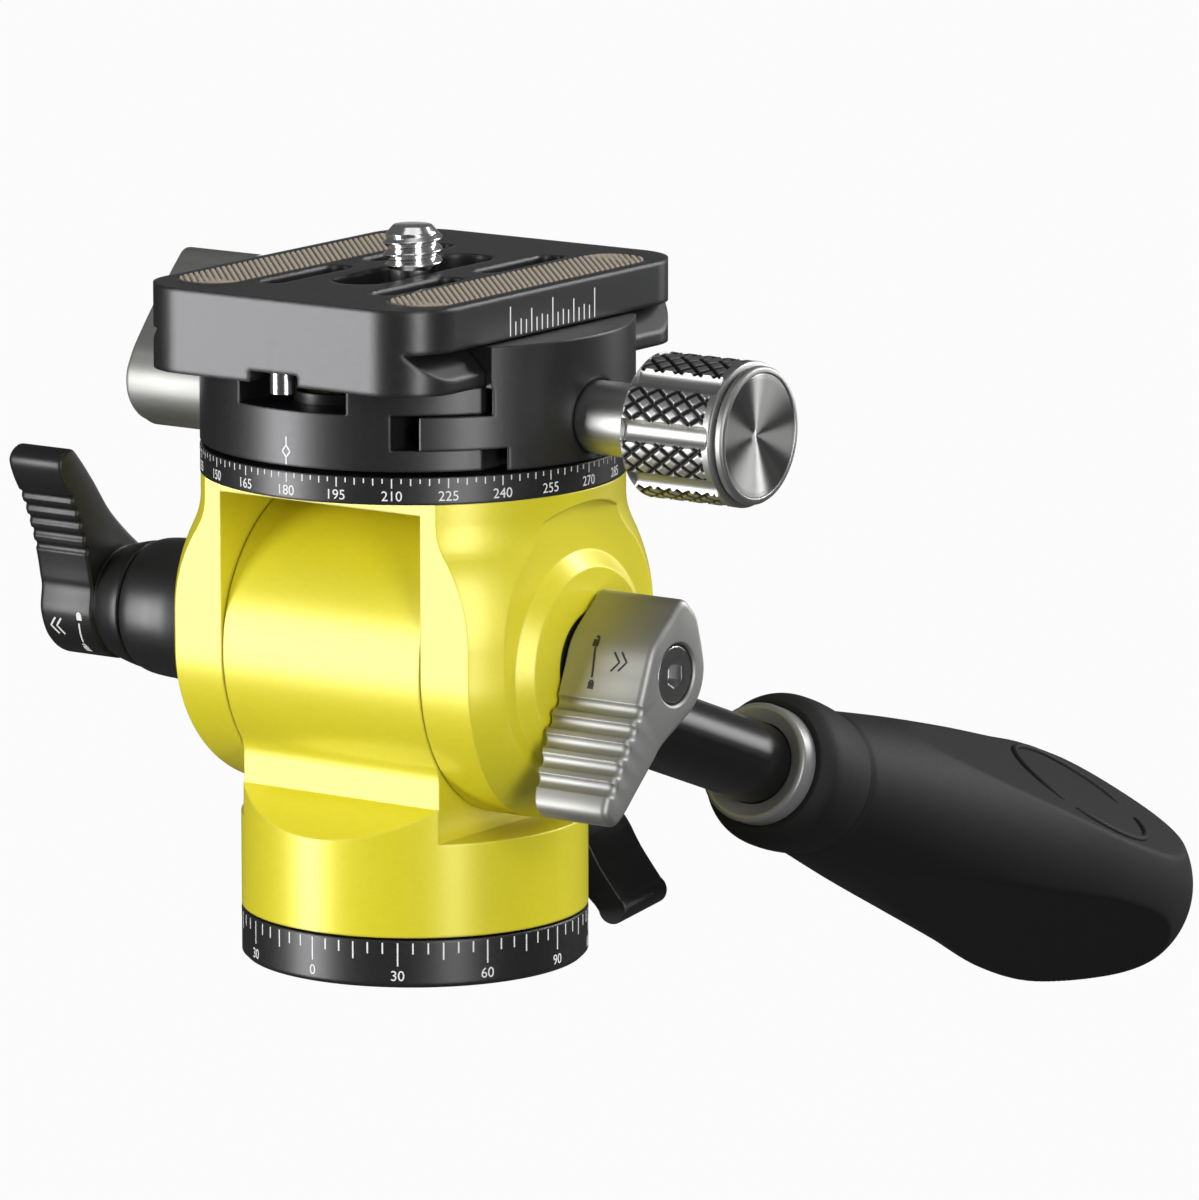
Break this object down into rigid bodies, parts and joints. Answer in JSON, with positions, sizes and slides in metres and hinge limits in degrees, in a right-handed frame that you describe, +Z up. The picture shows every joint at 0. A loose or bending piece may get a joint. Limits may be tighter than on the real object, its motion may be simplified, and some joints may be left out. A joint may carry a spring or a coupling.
{
  "type": "fluid video head",
  "caption": "Compact fluid pan-and-tilt tripod head with a damped tilt drum in a yoke, panorama dovetail clamp and plate, lock levers and a screw-in pan handle.",
  "frame": {"origin": "centre of the tripod thread's mouth, on the bottom face of the base", "axes": "+X to the drag lever's side along the tilt axis, +Y back along the pan handle, +Z up"},
  "size_m": [0.0905, 0.1487, 0.1013],
  "materials": {
    "yellow_anodised": "satin anodised",
    "black_anodised": "satin anodised",
    "black_lever": "satin anodised",
    "satin_lever": "satin anodised",
    "knob_steel": "turned and knurled",
    "knob_face_steel": "spun",
    "ferrule_grey": "satin",
    "screw_chrome": "polished",
    "screw_steel": "plain",
    "inner_steel": "turned",
    "inner_aluminium": "turned",
    "bearing_brass": "turned",
    "friction_fibre": "matt",
    "grip_rubber": "matt",
    "strip_rubber": "ribbed",
    "level_fluid": "clear"
  },
  "bodies": {
    "base": {"base_ring": "black_anodised", "pan_spindle": "inner_steel", "tripod_insert": "inner_steel", "base_screws": "screw_steel"},
    "pan_body": {"lower_body": "yellow_anodised", "pan_keeper_ring": "bearing_brass", "pan_friction_washers": "friction_fibre", "drum_end_covers": "black_anodised", "tilt_bushes": "bearing_brass", "damper_stator": "inner_aluminium"},
    "pan_lock": {"pan_lever": "black_lever", "pan_lock_stud": "inner_steel", "pan_brake_pad": "bearing_brass", "pan_lever_screw": "screw_steel"},
    "tilt_yoke": {"yoke": "yellow_anodised", "tilt_shaft": "inner_steel", "damper_rotor": "inner_steel", "tilt_friction_discs": "friction_fibre", "drag_spring_washers": "inner_steel", "lock_collar": "black_anodised", "dial_ring": "black_anodised", "dial_screws": "screw_steel", "hub_keeper_disc": "inner_steel", "hub_screw": "screw_steel"},
    "drag_control": {"drag_lever": "satin_lever", "drag_stud": "inner_steel", "drag_lever_screw": "screw_steel"},
    "tilt_lock": {"lock_lever": "black_lever", "lock_stud": "inner_steel", "lock_lever_screw": "screw_steel"},
    "handle": {"handle_stud": "inner_steel", "handle_rod": "black_anodised", "handle_ferrule": "ferrule_grey", "handle_grip": "grip_rubber"},
    "pano_clamp": {"clamp_body": "black_anodised", "jaw_guide_pins": "inner_steel", "level_case": "black_anodised", "level_vial": "level_fluid"},
    "pano_lock": {"pano_lever": "satin_lever", "pano_stud": "inner_steel", "pano_brake_pad": "bearing_brass", "pano_lever_screw": "screw_steel"},
    "jaw": {"moving_jaw": "black_anodised"},
    "knob": {"clamp_knob": "knob_steel", "clamp_screw": "inner_steel", "knob_end_disc": "knob_face_steel"},
    "plate": {"dovetail_plate": "black_anodised", "plate_grip_strips": "strip_rubber", "stop_screws": "screw_chrome"},
    "clip": {"screw_clip": "screw_chrome"},
    "camera_bolt": {"camera_screw": "screw_chrome"}
  },
  "joints": [
    {"name": "pan", "type": "hinge", "parent": "base", "child": "pan_body", "pos_m": [0, 0, 0], "axis": [0, 0, 1], "continuous": true},
    {"name": "pan_lock_turn", "type": "hinge", "parent": "pan_body", "child": "pan_lock", "pos_m": [0, 0, 0.0097], "axis": [0.1994, -0.9799, 0], "range_deg": [0, 45]},
    {"name": "tilt", "type": "hinge", "parent": "pan_body", "child": "tilt_yoke", "pos_m": [0, 0, 0.034], "axis": [1, 0, 0], "range_deg": [-15, 85]},
    {"name": "drag_turn", "type": "hinge", "parent": "tilt_yoke", "child": "drag_control", "pos_m": [0, 0, 0.034], "axis": [-1, 0, 0], "range_deg": [0, 55]},
    {"name": "tilt_lock_turn", "type": "hinge", "parent": "tilt_yoke", "child": "tilt_lock", "pos_m": [0, 0, 0.034], "axis": [1, 0, 0], "range_deg": [0, 70]},
    {"name": "handle_turn", "type": "hinge", "parent": "tilt_yoke", "child": "handle", "pos_m": [0.01733, -0.00115, 0.03091], "axis": [0, 0.9373, -0.3486], "range_deg": [0, 360]},
    {"name": "panorama", "type": "hinge", "parent": "tilt_yoke", "child": "pano_clamp", "pos_m": [0, 0, 0.0562], "axis": [0, 0, 1], "continuous": true},
    {"name": "pano_lock_turn", "type": "hinge", "parent": "pano_clamp", "child": "pano_lock", "pos_m": [0, 0, 0.0594], "axis": [1, 0, 0], "range_deg": [0, 60]},
    {"name": "jaw_slide", "type": "slide", "parent": "pano_clamp", "child": "jaw", "axis": [1, 0, 0], "range_m": [0, 0.003]},
    {"name": "knob_turn", "type": "hinge", "parent": "jaw", "child": "knob", "pos_m": [0.0234, 0, 0.0605], "axis": [1, 0, 0], "range_deg": [0, 1350]},
    {"name": "plate_slide", "type": "slide", "parent": "pano_clamp", "child": "plate", "axis": [0, 1, 0], "range_m": [-0.012, 0.012]},
    {"name": "camera_bolt_slide", "type": "slide", "parent": "plate", "child": "clip", "axis": [0, 1, 0], "range_m": [-0.0085, 0.0085]},
    {"name": "camera_bolt_turn", "type": "hinge", "parent": "clip", "child": "camera_bolt", "pos_m": [0, 0, 0.074], "axis": [0, 0, 1], "continuous": true}
  ],
  "couplings": [
    {"joint": "knob_turn", "follows": "jaw_slide", "rad_per_m": 7854}
  ]
}
